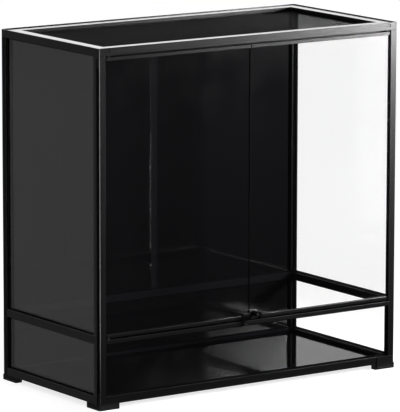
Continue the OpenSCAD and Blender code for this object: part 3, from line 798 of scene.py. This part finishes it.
def card(name, place, turn, width, height, low, high):
    """A flat card or cloth that only reflections see.

    Its glow runs from low in one corner to high in the corner across.
    """
    sheet = start_primitive("plane", size=1, location=(0, 0, 0))
    sheet.data.transform(Matrix.Translation(place) @ turn.to_matrix().to_4x4()
                         @ Matrix.Diagonal((width, height, 1, 1)))
    sheet.name = name
    sheet.data.uv_layers.active.name = "card"
    material, tree, surface = new_material(name + "_cloth")
    across = add(tree, "ShaderNodeSeparateXYZ", links={
        "Vector": add(tree, "ShaderNodeUVMap", {"uv_map": "card"}).outputs["UV"]})
    both = add(tree, "ShaderNodeMath", {"operation": "MULTIPLY"},
               links={0: across.outputs["X"], 1: across.outputs["Y"]})
    glow = add(tree, "ShaderNodeEmission", values={"Strength": 1.0},
               links={"Color": ramp(tree, both.outputs[0], [(0.04, grey(low)), (1.0, grey(high))])})
    tree.links.new(glow.outputs["Emission"], surface)
    sheet.data.materials.append(material)
    sheet.visible_camera = sheet.visible_diffuse = sheet.visible_shadow = False
    sheet.visible_transmission = sheet.visible_volume_scatter = False
    return sheet


def soft_box(name, place, aim, width, height, power, spread=180.0):
    """A rectangular lamp turned to the point it lights, unseen itself."""
    lamp = bpy.data.lights.new(name, "AREA")
    lamp.shape, lamp.size, lamp.size_y, lamp.energy = "RECTANGLE", width, height, power
    lamp.spread = math.radians(spread)
    holder = bpy.data.objects.new(name, lamp)
    holder.location = place
    holder.rotation_mode = "QUATERNION"
    holder.rotation_quaternion = (Vector(aim) - Vector(place)).to_track_quat("-Z", "Y")
    holder.visible_camera = False
    bpy.context.scene.collection.objects.link(holder)
    return holder


class TERRARIUM_OT_build_studio(Operator):
    """Pale floor, white surroundings, soft boxes, dark and bright cards and the camera"""
    bl_idname = "terrarium.build_studio"
    bl_label = "Studio"

    def execute(self, context):
        scene = context.scene
        studio = scene.terrarium_studio
        scene.view_settings.view_transform = "Standard"

        floor = start_primitive("plane", size=60, location=(0, 0, 0))
        floor.name = "studio_floor"
        material, tree, surface = new_material("studio_floor_paper")
        seen = self.seen_rays(tree)
        sheet = add(tree, "ShaderNodeBsdfDiffuse", values={"Color": grey(0.5)})
        glow = add(tree, "ShaderNodeEmission", values={"Color": grey(0.76)}, links={"Strength": seen})
        both = add(tree, "ShaderNodeAddShader",
                   links={0: sheet.outputs["BSDF"], 1: glow.outputs["Emission"]})
        tree.links.new(both.outputs["Shader"], surface)
        floor.data.materials.append(material)

        world = bpy.data.worlds.new("studio_room")
        scene.world = world
        world.use_nodes = True
        tree = world.node_tree
        tree.nodes.clear()
        output = tree.nodes.new("ShaderNodeOutputWorld")
        seen = self.seen_rays(tree)
        level = add(tree, "ShaderNodeMapRange",
                    values={"To Min": studio.room_level, "To Max": 1.0}, links={"Value": seen})
        room = add(tree, "ShaderNodeBackground", values={"Color": grey(1.0)},
                   links={"Strength": level.outputs["Result"]})
        tree.links.new(room.outputs["Background"], output.inputs["Surface"])

        soft_box("key_soft_box", (-2.6, -2.4, 2.6), (0, 0, 0.5), 1.6, 1.6, studio.key_power)
        # A narrow beam, so that the doors stay dark
        soft_box("side_soft_box", (1.75, -1.60, 0.98), (0.45, -0.22, 0.78), 0.5, 0.5,
                 studio.side_power, spread=54.0)
        soft_box("back_soft_box", (1.3, 2.9, 2.1), (0, 0, 0.9), 2.2, 1.2, studio.back_power)

        flat = Quaternion()
        upright = Quaternion((1, 0, 0), math.radians(90))
        sideways = Quaternion((0, 0, 1), math.radians(90)) @ upright
        card("dark_cloth_front", (2.0, -3.25, 0.004), flat, 9.0, 6.0, BLACK_CLOTH, BLACK_CLOTH)
        card("dark_cloth_right", (3.6, 1.75, 0.004), flat, 6.0, 4.0, BLACK_CLOTH, BLACK_CLOTH)
        card("grey_cloth_left", (-3.5, 3.25, 0.004), flat, 6.1, 9.0, GREY_CLOTH, GREY_CLOTH)
        card("dark_screen_front", (2.5, -5.0, 1.2), upright, 9.0, 2.4, BLACK_CLOTH, BLACK_CLOTH)
        card("grey_screen_left", (-3.4, 3.25, 1.3), sideways, 9.5, 2.6, GREY_CLOTH, GREY_CLOTH)
        # Stands ahead of the front left corner and draws the bright line along its rounding
        card("white_board_corner", (-0.66, -0.8, 0.5), upright, 0.26, 1.1, 28.0, 28.0)
        # Shows as the glow on the right half of the floor board
        card("window_right", (1.95, -2.1, 0.62), upright, 0.5, 0.4, 0.0, 24.0)

        self.add_camera(scene)
        return {"FINISHED"}

    @staticmethod
    def seen_rays(tree):
        """One for the rays that show the surroundings: straight, mirrored or through glass."""
        path = add(tree, "ShaderNodeLightPath")
        first = add(tree, "ShaderNodeMath", {"operation": "MAXIMUM"},
                    links={0: path.outputs["Is Camera Ray"], 1: path.outputs["Is Glossy Ray"]})
        second = add(tree, "ShaderNodeMath", {"operation": "MAXIMUM"},
                     links={0: first.outputs[0], 1: path.outputs["Is Transmission Ray"]})
        return second.outputs[0]

    @staticmethod
    def add_camera(scene):
        data = bpy.data.cameras.new("studio_camera")
        # A long lens from about ten metres; sensor along the taller side of the picture
        data.sensor_width, data.lens = 36.0, 352.95
        data.shift_x, data.shift_y = -0.00365, 0.0035
        data.clip_end = 200
        data.dof.use_dof = False
        camera = bpy.data.objects.new("studio_camera", data)
        scene.collection.objects.link(camera)
        azimuth, down, roll = math.radians(34.71), math.radians(10.02), math.radians(0.10)
        look = Vector((math.sin(azimuth) * math.cos(down), math.cos(azimuth) * math.cos(down),
                       -math.sin(down)))
        turn = look.to_track_quat("-Z", "Y").to_matrix().to_4x4() @ Matrix.Rotation(roll, 4, "Z")
        camera.matrix_world = Matrix.Translation((-5.798, -8.376, 2.234)) @ turn
        scene.camera = camera


OPERATORS = (
    TERRARIUM_OT_finish_frame,
    TERRARIUM_OT_finish_mouldings,
    TERRARIUM_OT_finish_glass,
    TERRARIUM_OT_finish_boards,
    TERRARIUM_OT_finish_metal,
    TERRARIUM_OT_open_posts,
    TERRARIUM_OT_glazing_beads,
    TERRARIUM_OT_stop_pads,
    TERRARIUM_OT_weave_screen,
    TERRARIUM_OT_foot_plate,
    TERRARIUM_OT_build_studio,
)


class TERRARIUM_PT_sidebar(Panel):
    """Lists the steps and their settings"""
    bl_label = "Terrarium"
    bl_idname = "TERRARIUM_PT_sidebar"
    bl_space_type = "VIEW_3D"
    bl_region_type = "UI"
    bl_category = "Terrarium"

    def draw(self, context):
        layout = self.layout
        for group in (context.scene.terrarium_finish, context.scene.terrarium_posts,
                      context.scene.terrarium_screen, context.scene.terrarium_plate,
                      context.scene.terrarium_studio):
            box = layout.box()
            for key in group.__annotations__:
                box.prop(group, key)
        for step in OPERATORS:
            layout.operator(step.bl_idname)


SETTINGS = (
    ("terrarium_finish", TerrariumFinishSettings),
    ("terrarium_posts", TerrariumPostSettings),
    ("terrarium_screen", TerrariumScreenSettings),
    ("terrarium_plate", TerrariumPlateSettings),
    ("terrarium_studio", TerrariumStudioSettings),
)
CLASSES = tuple(group for key, group in SETTINGS) + OPERATORS + (TERRARIUM_PT_sidebar,)


def register():
    for item in CLASSES:
        bpy.utils.register_class(item)
    for key, group in SETTINGS:
        setattr(bpy.types.Scene, key, PointerProperty(type=group))


def unregister():
    for key, _ in SETTINGS:
        delattr(bpy.types.Scene, key)
    for item in reversed(CLASSES):
        bpy.utils.unregister_class(item)


def main():
    register()
    for step in OPERATORS:
        space, name = step.bl_idname.split(".")
        getattr(getattr(bpy.ops, space), name)()


if __name__ == "__main__":
    main()
